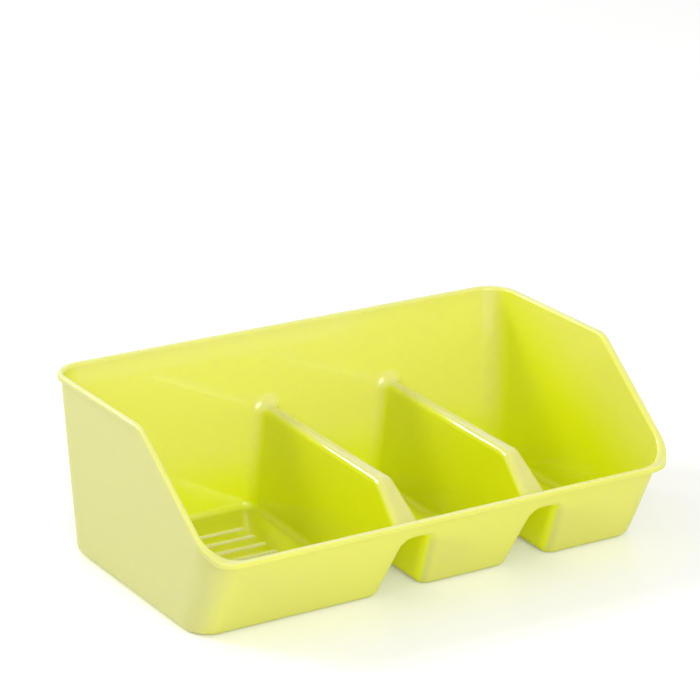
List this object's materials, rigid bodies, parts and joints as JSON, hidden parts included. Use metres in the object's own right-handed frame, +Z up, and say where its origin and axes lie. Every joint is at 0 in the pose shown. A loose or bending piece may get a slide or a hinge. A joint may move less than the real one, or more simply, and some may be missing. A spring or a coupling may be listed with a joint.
{
  "type": "cutlery dispenser",
  "caption": "Open cutlery tray with side-by-side bins between hollow dividers, a rolled rim, sides that fall to a low front, and drain slots in the floor.",
  "frame": {"origin": "centre of the tray's rectangular outline, on the surface that it stands on", "axes": "+X along the row of bins, to the right as seen from the low front; +Y from the low front to the high back; +Z up"},
  "size_m": [0.3298, 0.2, 0.115],
  "materials": {
    "lime_polypropylene": "satin outside, glossy inside"
  },
  "bodies": {
    "root": {"tray": "lime_polypropylene"}
  },
  "joints": []
}
